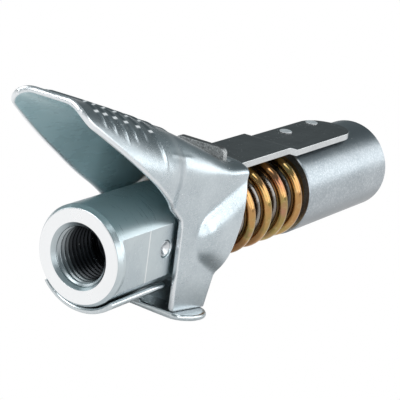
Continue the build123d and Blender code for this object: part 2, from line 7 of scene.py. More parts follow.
import bmesh
import bpy
import numpy as np
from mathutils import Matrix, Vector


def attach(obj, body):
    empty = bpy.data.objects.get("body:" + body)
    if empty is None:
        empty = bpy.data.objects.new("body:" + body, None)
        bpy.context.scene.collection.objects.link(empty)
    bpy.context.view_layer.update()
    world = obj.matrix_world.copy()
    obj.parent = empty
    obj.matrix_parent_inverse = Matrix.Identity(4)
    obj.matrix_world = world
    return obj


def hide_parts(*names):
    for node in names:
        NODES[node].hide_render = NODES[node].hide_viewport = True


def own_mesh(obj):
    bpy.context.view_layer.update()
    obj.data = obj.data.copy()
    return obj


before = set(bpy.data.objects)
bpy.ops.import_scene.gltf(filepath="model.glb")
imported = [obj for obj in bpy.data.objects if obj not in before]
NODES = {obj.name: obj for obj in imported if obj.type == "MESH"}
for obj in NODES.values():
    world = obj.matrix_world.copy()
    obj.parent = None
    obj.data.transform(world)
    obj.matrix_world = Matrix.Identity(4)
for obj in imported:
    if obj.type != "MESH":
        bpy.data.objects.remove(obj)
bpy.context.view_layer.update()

MM = 0.001

# Lever, as in the solids: places in the side view, and stations of (place along the tilted spine, size)
SHEET = 1.0
TILT = math.radians(16.7)
CHEEK_HALF_WIDTH = 8.3
PAD_HALF_WIDTH = 10.0
CHEEK_LOSS = PAD_HALF_WIDTH - CHEEK_HALF_WIDTH
PAD_FRONT = -10.75
PAD_TIP_Z = 24.55
PAD_FRONT_TOP_Z = PAD_TIP_Z + 1.7
RIM_BEND = (4.64, 12.86)
CHEEK_FRONT = 15.2
CHEEK_TOP = 4.5
CHEEK_BOTTOM = -10.45
CHEEK_REAR = (24.5, -11.906)
RIM_CORNER_RADII = (3.0, 6.0, 2.2, 0.6)
REAR_BEND = (26.5, -6.1)
CROWN_REAR = 33.5
CHEEK_REAR_TOP = 10.0
REAR_CORNER_RADII = (1.2, 4.0)
BAR_TOP_Z = 9.7
CROWN_CLEARANCE = 0.25
CROWN_HEIGHT = CROWN_REAR * math.sin(TILT) + (BAR_TOP_Z + CROWN_CLEARANCE) * math.cos(TILT) + SHEET
CROWN_RISE = ((-24, 3.1), (-9, 2.57), (2, 2.12), (10, 1.44), (18, 0.34), (24, -0.56), (29, 0.0), (36, 0.9))
TOP_HALF_WIDTH = ((-24, 3.2), (-12, 2.4), (2, 1.2), (14, 2.9), (24, 3.6), (36, 3.3))
SHOULDER_DEPTH = ((-24, 7.2), (2, 8.5), (14, 5.5), (24, 2.2), (36, 1.9))
WIDTH_LOSS = ((-24, 1.6), (-8, 0.2), (1, 0.0), (6, 0.5), (10, CHEEK_LOSS), (18, CHEEK_LOSS), (36, CHEEK_LOSS))
SLOT = (29.3, 31.1)
SLOT_HALF_WIDTH = 5.2
SLOT_FLOOR_Z = 8.0

# Bulge over each ear, and the crease above it
PIVOT = (23.6, 0.6)
BULGE_NOSE_R = 4.0
BULGE_SWELL = 1.8
BULGE_FULLNESS = 2.6
BULGE_SKIRT = 0.35
BULGE_BLEND = 0.04
BULGE_HALF_ANGLE = math.radians(26.5)
BULGE_DROOP = math.radians(7.0)
CREASE = ((4.1, 9.35), (13.1, 8.1))
CREASE_HEIGHT = 0.12
CREASE_HALF_WIDTH = 0.45

# Ribs across the pad: place along the spine and reach round the section
RIB_REACHES = (9, 9.6, 10.4, 9.6, 8.8, 12.4, 4.6, 4.2)
RIBS = [(-13.94 + 2.1 * k + 0.167 * k * k, reach) for k, reach in enumerate(RIB_REACHES)]
RIB_HEIGHT = 0.24
RIB_HALF_WIDTH = 0.5
RIB_ROUNDNESS = 0.8
RIB_FADE = 2.4
RIB_LEAN = 0.24
RIB_LEAN_START = 5.5
# Reach of the painted shade between the ribs
RIB_SHADE_END = 2.5
RIB_SHADE_HALF_WIDTH = 12.5
# Painted glints: on how many ribs, in which rows along the pad, and their size
GLINT_RIBS = 6
DASH_ROWS = (3.4, 6.0)
DASH_HALF_WIDTH = 0.24
DASH_HALF_LENGTH = 0.75
DASH_BLUR = 0.3
# Share of painted highlight at the sheet's edges
EDGE_HIGHLIGHT_SHARE = 0.9

# The lever's grid: points each way, how far off lines are drawn to the slot, and how they close up at an edge
LEVER_ROWS = 290
LEVER_HALF_COLUMNS = 64
OUTLINE_STEPS = 400
SLOT_DRAW = 6
SLOT_DRAW_FADE = 8
EDGE_SHARES = np.array([0.04, 0.027, 0.017, 0.009, 0.003])

# Stop plate
FLOOR_FALL = math.radians(8.9)
FLOOR_LENGTH = 9.4
FLOOR_HALF_WIDTH = 8.0
TAB_LENGTH = 8.9
TAB_REACH = 2.8
CRADLE_R = 8.25
CRADLE_SPAN = (1.0, 14.8)
CRADLE_HALF_ANGLE = math.radians(47)
NECK_HALF_WIDTH = 2.0
NECK_FLARE = 0.8
NECK_LAPS = (1.2, 1.4)
NECK_DROP = 0.15
BULKHEAD_X = 21.05
BULKHEAD_R = 7.9
BULKHEAD_GAP = 0.05

# Inlet body and its pins; a pin's end is (depth under the flat, radius)
BODY_R = 8.0
BODY_LENGTH = 20.4
FACE_CHAMFER = (0.8, 0.53)
MOUTH_R = 5.31
THREAD_R = 4.35
THREAD_PITCH = 0.9407
THREAD_DEPTH = 0.55
THREAD_FLAT = 0.12
THREAD_RUN_OUT = 0.6
POCKET_X, POCKET_R = 10.1, 3.97
SOCKET_X, SOCKET_R = 12.5, 5.62
FLAT_SPAN = (1.4, 15.1)
FLAT_Y = 6.76
RELIEF_Y = 6.4
CUTTER_MARKS = (1.6, 8.7)
PIN_X, PIN_Z, PIN_R = 13.4, 0.25, 1.3
PIN_INNER = 5.0
PIN_RECESS = 0.8
PIN_RECESS_EDGE = 0.12
PIN_END = ((0.22, PIN_R), (0.14, PIN_R - 0.1), (0.2, PIN_R - 0.28), (0.62, 0.34), (0.68, 0.05))

# Draw bar and its rivets; a rivet's head is (height over the bar, radius)
LIP_REAR = 30.9
RIVET_PLACES = ((62.3, 2.6), (72.2, 3.0))
RIVET_R = 0.8
RIVET_Z = 8.9
RIVET_HEAD = ((0.0, 1.14), (0.1, 1.14), (0.22, 0.98), (0.24, 0.86), (0.2, 0.72), (0.07, 0.45), (0.04, 0.05))
SLEEVE_BORE_R = 6.9

# Tones within the finishes
# White of the specks, and of the painted glints
SPECK_AND_GLINT_WHITE = (0.85, 0.86, 0.87)
# Painted glints on the crystal grain
GLINT_WHITE = (0.90, 0.92, 0.93)
# Painted highlight along edges
EDGE_HIGHLIGHT_WHITE = (0.86, 0.88, 0.90)
MATT_TONES = ((0.16, 0.17, 0.17), (0.46, 0.47, 0.47))
# Painted reflection on the sheet's inner side
INNER_REFLECTION_TONES = ((0.36, 0.51, 0.54), (0.52, 0.68, 0.71))
# Painted light on the end face
FACE_PAINTED_LIGHT = (0.93, 0.94, 0.95)
# Painted shade on the body's tops
TOP_SHADE_TEAL = (0.17, 0.27, 0.29)
# Painted highlight along the cutter marks
MARK_HIGHLIGHT_WHITE = (0.86, 0.88, 0.88)
# Painted shade deep in the bore
BORE_SHADE_BLACK = (0.02, 0.022, 0.025)


# Materials


class Value:
    """A number, a colour or a shader that varies over a surface; arithmetic on it adds Math nodes."""

    def __init__(self, nodes, socket):
        self.nodes = nodes
        self.socket = socket

    def __abs__(self):
        return self.nodes.math("ABSOLUTE", self)

    def __add__(self, other):
        return self.nodes.math("ADD", self, other)

    def __sub__(self, other):
        return self.nodes.math("SUBTRACT", self, other)

    def __rsub__(self, other):
        return self.nodes.math("SUBTRACT", other, self)

    def __mul__(self, other):
        return self.nodes.math("MULTIPLY", self, other)

    __radd__ = __add__
    __rmul__ = __mul__


class Nodes:
    """A node tree under construction."""

    def __init__(self, tree):
        self.tree = tree

    def node(self, kind, settings=None, inputs=None, output=0):
        """Adds a node: its settings first, then the values or links of its sockets."""
        made = self.tree.nodes.new(kind)
        for name, setting in (settings or {}).items():
            if name == "stops":
                ramp = made.color_ramp
                while len(ramp.elements) < len(setting):
                    ramp.elements.new(1.0)
                for element, (position, colour) in zip(ramp.elements, setting):
                    element.position = position
                    element.color = (*colour, 1.0)
            else:
                setattr(made, name, setting)
        for socket, given in (inputs or {}).items():
            self.feed(made.inputs[socket], given)
        return Value(self, made.outputs[output])

    def math(self, operation, first, second=0.0):
        return self.node("ShaderNodeMath", {"operation": operation}, {0: first, 1: second})

    def feed(self, socket, given):
        """Links a value to the socket, or sets a constant on it."""
        if isinstance(given, Value):
            self.tree.links.new(given.socket, socket)
        elif isinstance(given, tuple) and len(given) == 3 and len(socket.default_value) == 4:
            socket.default_value = (*given, 1.0)
        else:
            socket.default_value = given


class Finish(Nodes):
    """A material under construction on the object's own coordinates, in millimetres."""

    def __init__(self, name, **constants):
        self.material = bpy.data.materials.new(name)
        self.material.use_nodes = True
        super().__init__(self.material.node_tree)
        self.shader = self.tree.nodes["Principled BSDF"]
        place = self.node("ShaderNodeTexCoord", output="Object")
        self.place = self.node("ShaderNodeVectorMath", {"operation": "SCALE"}, {0: place, "Scale": 1.0 / MM})
        for socket, number in constants.items():
            self.shader.inputs[socket].default_value = number

    def stretched(self, x, y, z):
        """The place with each axis scaled, so that a pattern runs long along the small ones."""
        return self.node("ShaderNodeVectorMath", {"operation": "MULTIPLY"}, {0: self.place, 1: (x, y, z)})

    def noise(self, scale, detail=3.0, roughness=0.5, place=None, seed=0.0):
        """Soft cloudy value about 0.5 with this many features per millimetre."""
        given = {"Vector": place or self.place, "Scale": scale, "Detail": detail}
        given.update({"Roughness": roughness, "W": seed})
        return self.node("ShaderNodeTexNoise", {"noise_dimensions": "4D"}, given)

    def cells(self, scale, output="Distance"):
        """Distance to, or colour of, the nearest of points scattered this many per millimetre."""
        return self.node("ShaderNodeTexVoronoi", None, {"Vector": self.place, "Scale": scale}, output)

    def specks(self, scale, radii, patch_scale, patch_span):
        """1 in scattered dots that fade out between two radii, and only where a coarser cloud is thick."""
        dots = self.rise(self.cells(scale), radii[1], radii[0])
        return dots * self.rise(self.noise(patch_scale, 2.0, seed=9.0), *patch_span)

    def rise(self, value, low, high):
        """0 at low and 1 at high, smooth between and level beyond; low may be the greater."""
        given = {"Value": value, "From Min": low, "From Max": high}
        return self.node("ShaderNodeMapRange", {"interpolation_type": "SMOOTHSTEP"}, given)

    def mix(self, factor, first, second):
        """Colour that goes from first to second with the factor."""
        settings = {"data_type": "RGBA", "clamp_factor": True}
        return self.node("ShaderNodeMix", settings, {0: factor, 6: first, 7: second}, 2)

    def ramp(self, value, *stops):
        """Colour that runs through (position, colour) stops."""
        return self.node("ShaderNodeValToRGB", {"stops": stops}, {0: value})

    def axis(self, name, vector=None):
        """One of X, Y and Z of the place, or of another vector."""
        return self.node("ShaderNodeSeparateXYZ", None, {0: vector or self.place}, name)

    def shade(self, name):
        """The number that a piece's mesh carries under this name, 0 where it has none."""
        return self.node("ShaderNodeAttribute", {"attribute_name": name}, None, "Fac")

    def facing(self, x, y, z):
        """How far the surface faces a direction, from -1 to 1."""
        normal = self.node("ShaderNodeNewGeometry", output="Normal")
        given = {0: normal, 1: (x, y, z)}
        return self.node("ShaderNodeVectorMath", {"operation": "DOT_PRODUCT"}, given, "Value")

    def paint(self, colour, roughness, relief, metal=None):
        """Feeds what varies to the shader; relief is a height in millimetres."""
        bump = self.node("ShaderNodeBump", None, {"Height": relief, "Strength": 1.0, "Distance": MM})
        for socket, given in (("Base Color", colour), ("Roughness", roughness), ("Normal", bump)):
            self.feed(self.shader.inputs[socket], given)
        if metal is not None:
            self.feed(self.shader.inputs["Metallic"], metal)
        return self.material


def dimmed(colour, share):
    """The colour with each channel times the share."""
    return tuple(share * channel for channel in colour)


def satin_zinc(name, light, dark, grain, sparkle, roughness, top=1.0, matt_until=0.0):
    """Plated sheet: cloudy tone, crystal grain with painted glints, white specks and faint rub marks, and
    painted highlights along the edges.

    Where top is below 1, faces that look up are dimmed to this share of dark, and those that look down to
    three fifths of it: painted shade. Up to matt_until along X the metal is matt and grainy instead. The
    marks on the mesh paint shade on the floor between the ribs, paint glints as white dashes and give the
    inner side a painted reflection tone.
    """
    f = Finish(name)
    cloud = f.noise(0.12, 4.0, 0.55)
    crystal = f.axis("X", f.cells(grain, "Color"))
    tone = f.mix(f.rise(cloud, 0.3, 0.7), dark, light)
    matt = 0.0
    if matt_until:
        matt = f.rise(f.axis("X"), matt_until + 0.1, matt_until - 0.1)
        grains = f.rise(f.noise(4.0, 2.0, seed=3.0), 0.35, 0.65)
        tone = f.mix(matt, tone, f.mix(grains, *MATT_TONES))
    # Painted glints: some of the crystal grain's cells are whitened, by the sparkle share
    tone = f.mix(crystal * crystal * sparkle, tone, GLINT_WHITE)
    # Painted shade: faces that look up are darkened, and then faces that look down a little too
    if top < 1.0:
        tone = f.mix(f.rise(f.facing(0, 0, 1), 0.6, 0.95), tone, dimmed(dark, top))
        tone = f.mix(f.rise(f.facing(0, 0, -1), 0.1, 0.65), tone, dimmed(dark, 0.6))
    # Painted shade on the floor between the ribs
    tone = f.mix(f.shade("ribbed") * 0.6, tone, dimmed(dark, 0.4))
    # Painted reflection tone on the inner side, nearly without metal
    inside = f.shade("inner_side")
    tone = f.mix(inside, tone, f.mix(cloud, *INNER_REFLECTION_TONES))
    # Painted highlight along the edges that the mesh marks
    tone = f.mix(f.shade("edge_wear"), tone, EDGE_HIGHLIGHT_WHITE)
    # White specks, and painted glints where the mesh marks them
    white = f.rise(f.specks(1.6, (0.07, 0.11), 0.3, (0.46, 0.56)) + f.shade("rubbed"), 0.0, 1.0)
    rub = f.noise(0.9, 5.0, 0.6, f.stretched(0.15, 1.0, 1.0), 2.0)
    rough = roughness + (cloud - 0.5) * 0.16 + (rub - 0.5) * 0.12 + 0.25 * matt
    relief = f.noise(grain * 0.7, 2.0, 0.6, seed=5.0) * 0.007 + f.noise(0.35, 2.0, 0.5, seed=7.0) * 0.05
    metal = (1.0 - 0.85 * white) * (1.0 - 0.8 * matt) * (1.0 - 0.9 * inside)
    return f.paint(f.mix(white, tone, SPECK_AND_GLINT_WHITE), rough, relief, metal)


def turned_steel(name, light, dark, roughness, lines, bore_r=0.0, marks_at=()):
    """Turned and plated steel: fine tool lines round X over a cloudy tone, with white specks.

    Where a bore's radius is given, the end face gets painted white light, the tops a painted teal shade, a
    painted highlight line runs along each cutter mark at marks_at across the flats, and the bore gets painted
    black shade towards its depth.
    """
    f = Finish(name)
    turning = f.noise(lines, 3.0, 0.7, f.stretched(1.0, 0.04, 0.04))
    cloud = f.noise(0.18, 4.0, 0.6, seed=3.0)
    tone = f.mix(f.rise(cloud, 0.3, 0.7), dark, light)
    top_shade = 0.0
    if bore_r:
        # Painted light on the end face, which looks along -X
        tone = f.mix(f.rise(f.facing(-1, 0, 0), 0.8, 0.95), tone, FACE_PAINTED_LIGHT)
        # Painted shade on faces that look up: teal and less metallic
        top_shade = f.rise(f.facing(0, 0, 1), 0.4, 0.85)
        tone = f.mix(top_shade * 0.8, tone, TOP_SHADE_TEAL)
        # Painted highlight lines across the flats, along the cutter marks
        for place in marks_at:
            near = f.rise(abs(f.axis("X") - place), 0.16, 0.06)
            across = f.rise(abs(f.axis("Y")), 6.2, 6.6) * f.rise(f.facing(0, 0, 1), 0.3, 0.1)
            tone = f.mix(near * across * 0.8, tone, MARK_HIGHLIGHT_WHITE)
        # Painted shade: the bore turns black towards its depth
        radius = f.node("ShaderNodeVectorMath", {"operation": "LENGTH"}, {0: f.stretched(0, 1, 1)}, "Value")
        bore_shade = f.rise(f.axis("X"), -1.0, 4.5) * f.rise(radius, bore_r + 0.1, bore_r)
        tone = f.mix(bore_shade, tone, BORE_SHADE_BLACK)
    white = f.specks(1.3, (0.05, 0.09), 0.25, (0.45, 0.56))
    metal = (1.0 - 0.85 * white) * (1.0 - 0.6 * top_shade)
    rough = roughness + (turning - 0.5) * 0.2 + (cloud - 0.5) * 0.1
    return f.paint(f.mix(white, tone, SPECK_AND_GLINT_WHITE), rough, turning * 0.006, metal)


def coloured_chromate(name):
    """Yellow passivated wire: gold that drifts to green, rose and brown in long patches."""
    f = Finish(name, Metallic=1.0)
    drift = f.noise(0.16, 3.0, 0.6, seed=1.0)
    fine = f.noise(1.2, 3.0, 0.6, f.stretched(0.5, 1.0, 1.0), 4.0)
    tone = f.ramp(
        drift,
        (0.28, (0.34, 0.15, 0.09)),
        (0.40, (0.38, 0.20, 0.085)),
        (0.50, (0.45, 0.26, 0.10)),
        (0.60, (0.32, 0.24, 0.085)),
        (0.72, (0.42, 0.21, 0.14)),
    )
    tone = f.mix(f.rise(fine, 0.55, 0.75) * 0.3, tone, (0.70, 0.56, 0.30))
    rough = 0.16 + (fine - 0.5) * 0.14 + (drift - 0.5) * 0.1
    return f.paint(tone, rough, fine * 0.006)


def plain_metal(name, colour, roughness):
    """Plain machined metal: a fine cloud that dims the colour to four fifths and varies the shine."""
    f = Finish(name, Metallic=1.0)
    cloud = f.noise(0.8, 4.0, 0.6)
    tone = f.mix(cloud, dimmed(colour, 0.8), colour)
    return f.paint(tone, roughness + (cloud - 0.5) * 0.15, f.noise(4.0, 2.0, 0.5, seed=2.0) * 0.004)


def black_rubber(name):
    """Near-black with a fine cloud in its tone, shine and height."""
    f = Finish(name)
    cloud = f.noise(1.5, 4.0, 0.6)
    return f.paint(f.mix(cloud, (0.012, 0.012, 0.012), (0.03, 0.03, 0.03)), 0.5 + cloud * 0.2, cloud * 0.02)


LEVER_ZINC = satin_zinc(
    "lever_zinc",
    (0.50, 0.555, 0.585),
    (0.41, 0.465, 0.495),
    grain=5.0,
    sparkle=0.18,
    roughness=0.28,
    top=0.48,
)
# The lever's plating made lighter for the stop plate: painted light
PLATE_ZINC_LIGHTENED = satin_zinc(
    "plate_zinc_painted_light", (0.64, 0.68, 0.70), (0.50, 0.55, 0.57), grain=5.0, sparkle=0.25, roughness=0.20
)
SLEEVE_ZINC = satin_zinc(
    "sleeve_zinc", (0.37, 0.41, 0.44), (0.30, 0.34, 0.37), grain=4.5, sparkle=0.25, roughness=0.34, top=0.55
)
# Its top is dimmed almost to black: painted shade
BAR_ZINC = satin_zinc(
    "bar_zinc",
    (0.60, 0.62, 0.63),
    (0.50, 0.52, 0.53),
    grain=4.5,
    sparkle=0.25,
    roughness=0.30,
    top=0.12,
    matt_until=LIP_REAR,
)
BODY_STEEL = turned_steel(
    "body_plated_steel",
    (0.54, 0.60, 0.62),
    (0.46, 0.52, 0.55),
    roughness=0.30,
    lines=6.0,
    bore_r=5.25,
    marks_at=CUTTER_MARKS,
)
# Dark warm tone: painted shade inside the spring, and painted reflection of its gold coils
BARREL_STEEL_SHADED = turned_steel(
    "barrel_steel_painted_shade", (0.30, 0.28, 0.26), (0.22, 0.21, 0.20), roughness=0.24, lines=3.0
)
PIN_STEEL = plain_metal("pin_plain_steel", (0.66, 0.68, 0.70), roughness=0.3)
WIRE_STEEL = plain_metal("drawn_wire", (0.55, 0.55, 0.55), roughness=0.25)
JAW_STEEL = plain_metal("jaw_hardened_steel", (0.42, 0.43, 0.45), roughness=0.32)
BUSH_BRONZE = plain_metal("bush_bronze", (0.60, 0.43, 0.22), roughness=0.3)
SPRING_CHROMATE = coloured_chromate("spring_yellow_chromate")
RUBBER = black_rubber("seal_rubber")


# Meshes


def grid_faces(rows, columns, round_rows=False, round_columns=False):
    """Quads between neighbouring points of a grid of rows by columns, either way closed on itself."""
    i, j = np.meshgrid(
        np.arange(rows if round_rows else rows - 1),
        np.arange(columns if round_columns else columns - 1),
        indexing="ij",
    )
    i, j = i.ravel(), j.ravel()
    next_i, next_j = (i + 1) % rows, (j + 1) % columns
    corners = [i * columns + j, i * columns + next_j, next_i * columns + next_j, next_i * columns + j]
    return np.stack(corners, axis=1)


def dress(obj, finish, body, slot, *nodes):
    """Gives a piece its finish, its body and the solids that it stands for. The slot is not used."""
    obj.data.materials.clear()
    obj.data.materials.append(finish)
    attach(obj, body)
    if nodes:
        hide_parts(*nodes)
    return obj


def make_mesh(name, points, faces):
    """A smooth object from points in millimetres and lists of corner numbers."""
    mesh = bpy.data.meshes.new(name)
    faces = faces if isinstance(faces, list) else faces.tolist()
    mesh.from_pydata((np.asarray(points) * MM).tolist(), [], faces)
    mesh.polygons.foreach_set("use_smooth", np.ones(len(mesh.polygons), bool))
    mesh.validate()
    obj = bpy.data.objects.new(name, mesh)
    bpy.context.scene.collection.objects.link(obj)
    return obj


def mark(obj, name, *skins):
    """Stores a number at each corner, skin after skin, for the finish to read."""
    values = np.concatenate([np.ravel(skin) for skin in skins]).astype(np.float32)
    obj.data.attributes.new(name, "FLOAT", "POINT").data.foreach_set("value", values)


def rework(obj, operation):
    """Edits the object's mesh through an editing copy of it."""
    work = bmesh.new()
    work.from_mesh(obj.data)
    operation(work)
    work.to_mesh(obj.data)
    work.free()


def join_edges(obj):
    """Merges corners that lie in one place, so that the skins meet."""
    rework(obj, lambda work: bmesh.ops.remove_doubles(work, verts=work.verts, dist=1e-7))


def join_flat_faces(obj):
    """Makes one face of neighbours that lie within a degree of flat."""

    def join(work):
        bmesh.ops.dissolve_limit(work, angle_limit=math.radians(1), verts=work.verts, edges=work.edges)

    rework(obj, join)


def rounded_copy(name, node, finish, body, slot, width):
    """The node's own form, with each edge sharper than 35 degrees rounded by this width in millimetres."""
    mesh = NODES[node].data
    points = np.empty(len(mesh.vertices) * 3)
    mesh.vertices.foreach_get("co", points)
    corners = np.empty(len(mesh.loops), int)
    mesh.loops.foreach_get("vertex_index", corners)
    obj = make_mesh(name, points.reshape(-1, 3) / MM, corners.reshape(-1, 3))
    join_edges(obj)
    join_flat_faces(obj)
    bevel = obj.modifiers.new("edge_rounding", "BEVEL")
    bevel.width = width * MM
    bevel.segments = 3
    bevel.limit_method = "ANGLE"
    bevel.angle_limit = math.radians(35)
    bevel.harden_normals = True
    return dress(obj, finish, body, slot, node)


def smooth_step(t):
    """0 below 0, 1 above 1, and 3t^2 - 2t^3 between."""
    t = np.clip(t, 0.0, 1.0)
    return t * t * (3.0 - 2.0 * t)


def rounded_path(corners, radii, steps=6):
    """Polyline through corners, each inner one replaced by an arc of its radius."""
    corners = np.asarray(corners, float)
    points = [corners[:1]]
    for before, corner, after, radius in zip(corners, corners[1:], corners[2:], radii):
        back, ahead = before - corner, after - corner
        back, ahead = back / np.linalg.norm(back), ahead / np.linalg.norm(ahead)
        half = math.acos(np.clip(back @ ahead, -1, 1)) / 2
        reach = radius / math.tan(half)
        middle = back + ahead
        centre = corner + middle / np.linalg.norm(middle) * radius / math.sin(half)
        start, end = corner + back * reach - centre, corner + ahead * reach - centre
        t = np.linspace(0, 1, steps)[:, None]
        turn = math.pi - 2 * half
        points.append(centre + (np.sin((1 - t) * turn) * start + np.sin(t * turn) * end) / math.sin(turn))
    points.append(corners[-1:])
    return np.concatenate(points)


def along(path, count):
    """Points evenly spaced by length along a polyline."""
    path = np.asarray(path, float)
    run = np.concatenate([[0.0], np.cumsum(np.linalg.norm(np.diff(path, axis=0), axis=1))])
    places = np.linspace(0, run[-1], count)
    return np.stack([np.interp(places, run, path[:, k]) for k in range(path.shape[1])], axis=1)


# Lever


def between(stations, u):
    """Curve through stations: cubic spans, with each station's slope taken between its neighbours."""
    at, value = np.array(stations, float).T
    last = len(at) - 1
    index = np.arange(last + 1)
    after, before = np.minimum(index + 1, last), np.maximum(index - 1, 0)
    slope = (value[after] - value[before]) / (at[after] - at[before])
    k = np.clip(np.searchsorted(at, u, side="right") - 1, 0, last - 1)
    span = at[k + 1] - at[k]
    t = (u - at[k]) / span
    bend = t * (1 - t) * ((1 - t) * slope[k] - t * slope[k + 1]) * span
    return value[k] + (value[k + 1] - value[k]) * t * t * (3 - 2 * t) + bend


def sheet_sizes(u):
    """Half-width, level top, crown height and shoulder depth at u along the tilted spine."""
    half_width = PAD_HALF_WIDTH - between(WIDTH_LOSS, u)
    crown = CROWN_HEIGHT + between(CROWN_RISE, u)
    return half_width, between(TOP_HALF_WIDTH, u), crown, between(SHOULDER_DEPTH, u)


def crown_z(x):
    """Height of the crown line over a place along the length, by repeated substitution."""
    z = 15.0
    for _ in range(40):
        crown = sheet_sizes(x * math.cos(TILT) - z * math.sin(TILT))[2]
        z = (crown - x * math.sin(TILT)) / math.cos(TILT)
    return float(z)


def arch_length(half_width, top, depth):
    """Length of the quarter ellipse between the level top and the wall: a quarter turn of its mean radius."""
    return math.pi / 2 * np.sqrt(((half_width - top) ** 2 + depth**2) / 2)


def skin_point(u, w):
    """Outer skin at u along the spine and w round the section: level top, quarter ellipse, then wall."""
    half_width, top, crown, depth = sheet_sizes(u)
    arc = arch_length(half_width, top, depth)
    out = np.abs(w)
    turn = np.clip((out - top) / arc, 0, 1) * math.pi / 2
    y = np.minimum(out, top) + (half_width - top) * np.sin(turn)
    v = crown - depth * (1 - np.cos(turn)) - np.maximum(out - top - arc, 0)
    x = u * math.cos(TILT) + v * math.sin(TILT)
    z = v * math.cos(TILT) - u * math.sin(TILT)
    return np.stack([x, np.sign(w) * y, z], axis=-1)


def skin_place(x, z):
    """u and w of the outer skin's point at a place in the side view, on the side where w is positive."""
    u = x * math.cos(TILT) - z * math.sin(TILT)
    v = x * math.sin(TILT) + z * math.cos(TILT)
    half_width, top, crown, depth = sheet_sizes(u)
    arc = arch_length(half_width, top, depth)
    turn = np.arccos(np.clip(1 - (crown - v) / depth, 0, 1))
    return u, top * (v < crown - 1e-9) + arc * turn / (math.pi / 2) + np.maximum(crown - depth - v, 0)


def fan_distance(x, z):
    """Signed distance to the bulge's fan: a round nose about the pivot and two sides opening rearward."""
    across, forward = z - PIVOT[1], x - PIVOT[0]
    turn = np.arctan2(across, forward) + BULGE_DROOP
    far = np.hypot(across, forward)
    side = far * np.sin(np.abs(turn) - BULGE_HALF_ANGLE)
    past_nose = np.abs(turn) > BULGE_HALF_ANGLE + math.pi / 2
    return np.where(past_nose, far, side) - BULGE_NOSE_R


def finer_end(count):
    """Shares from 0 to 1, evenly spaced and then closing up to draw the half round of the sheet's edge."""
    even = np.linspace(0, 1 - EDGE_SHARES[0], count - len(EDGE_SHARES))
    return np.concatenate([even, 1 - EDGE_SHARES[1:], [1.0]])


def crown_to_edge(path, count):
    """u and w of a side view path that starts on the crown line, spaced as finer_end says."""
    u, w = skin_place(*along(path, OUTLINE_STEPS).T)
    w[0] = 0.0
    even = along(np.stack([u, w], axis=1), count)
    share = np.linspace(0, 1, count)
    return np.stack([np.interp(finer_end(count), share, even[:, k]) for k in range(2)], axis=1)


def lever_grid(rows, half_columns):
    """u, w grid of one side: lines from crown to rim, moved at both ends onto the front and rear edges."""
    rim = rounded_path(
        [
            (PAD_FRONT, PAD_FRONT_TOP_Z),
            (PAD_FRONT, PAD_TIP_Z),
            RIM_BEND,
            (CHEEK_FRONT, CHEEK_TOP),
            (CHEEK_FRONT, CHEEK_BOTTOM),
            CHEEK_REAR,
        ],
        RIM_CORNER_RADII,
    )
    rear = rounded_path(
        [(CROWN_REAR, crown_z(CROWN_REAR)), (CROWN_REAR, CHEEK_REAR_TOP), REAR_BEND, CHEEK_REAR],
        REAR_CORNER_RADII,
    )
    front = [(PAD_FRONT, crown_z(PAD_FRONT)), (PAD_FRONT, PAD_FRONT_TOP_Z)]
    front_uw, rear_uw = crown_to_edge(front, half_columns), crown_to_edge(rear, half_columns)
    rim_uw = np.stack(skin_place(*along(rim, rows).T), axis=1)
    share = ((rim_uw[:, 0] - rim_uw[0, 0]) / (rim_uw[-1, 0] - rim_uw[0, 0]))[:, None]
    crown_u = front_uw[0, 0] + share * (rear_uw[0, 0] - front_uw[0, 0])
    crown = np.concatenate([crown_u, np.zeros_like(crown_u)], axis=1)
    b = np.linspace(0, 1, rows)[:, None]
    a = finer_end(half_columns)[None, :]
    patch = []
    for k in range(2):
        across = (1 - a) * crown[:, k : k + 1] + a * rim_uw[:, k : k + 1]
        front_gap = front_uw[None, :, k] - across[:1]
        rear_gap = rear_uw[None, :, k] - across[-1:]
        patch.append(across + (1 - b) * front_gap + b * rear_gap)
    return patch


def edge_distance(place, slot_gap):
    """Distance along the sheet to its nearest free edge: summed steps each way, and the gap to the slot."""

    def run(axis):
        """Shorter of the two ways to the grid's ends along one of its directions."""
        steps = np.linalg.norm(np.diff(place, axis=axis), axis=-1)
        total = np.cumsum(steps, axis=axis)
        first = np.concatenate([np.zeros_like(total.take([0], axis)), total], axis=axis)
        return np.minimum(first, first.take([-1], axis) - first)

    return np.minimum(np.minimum(run(0), run(1)), slot_gap)


def outward(place):
    """Unit normals of a grid from the cross product of its two directions."""
    ahead, across = np.gradient(place, axis=0), np.gradient(place, axis=1)
    normal = np.cross(ahead, across)
    return normal / np.linalg.norm(normal, axis=-1)[..., None]


def two_skins(core, normal, from_edge, pressed=0.0):
    """Corners of the skins each side of a middle surface, which stand off by half the sheet's thickness.

    Towards a free edge they draw together as a half round does. The outer skin is also raised by pressed.
    """
    half = (SHEET / 2 * np.sqrt(1 - (1 - from_edge) ** 2))[..., None]
    outer = core + normal * (half + pressed)
    return np.concatenate([outer.reshape(-1, 3), (core - normal * half).reshape(-1, 3)])


def rib_height(u, w):
    """Low ridges across the pad: each a rounded crest that leans rearward down the shoulder and fades out."""
    height = np.zeros_like(u)
    for crest, reach in RIBS:
        off = np.abs(u - crest - RIB_LEAN * np.maximum(np.abs(w) - RIB_LEAN_START, 0)) / RIB_HALF_WIDTH
        fade = smooth_step((reach - np.abs(w)) / RIB_FADE)
        height += RIB_HEIGHT * fade * np.clip(1 - off, 0, 1) ** RIB_ROUNDNESS
    return height


def between_ribs(u, w):
    """Painted shade between the ribs: 1 on the floor between them, less on the ribs, fading out behind them
    and down the sides.
    """
    floor = smooth_step((RIB_SHADE_END - u) / 3) * smooth_step((RIB_SHADE_HALF_WIDTH - np.abs(w)) / 2.5)
    return floor * (1 - np.clip(1.4 * rib_height(u, w) / RIB_HEIGHT, 0, 1))


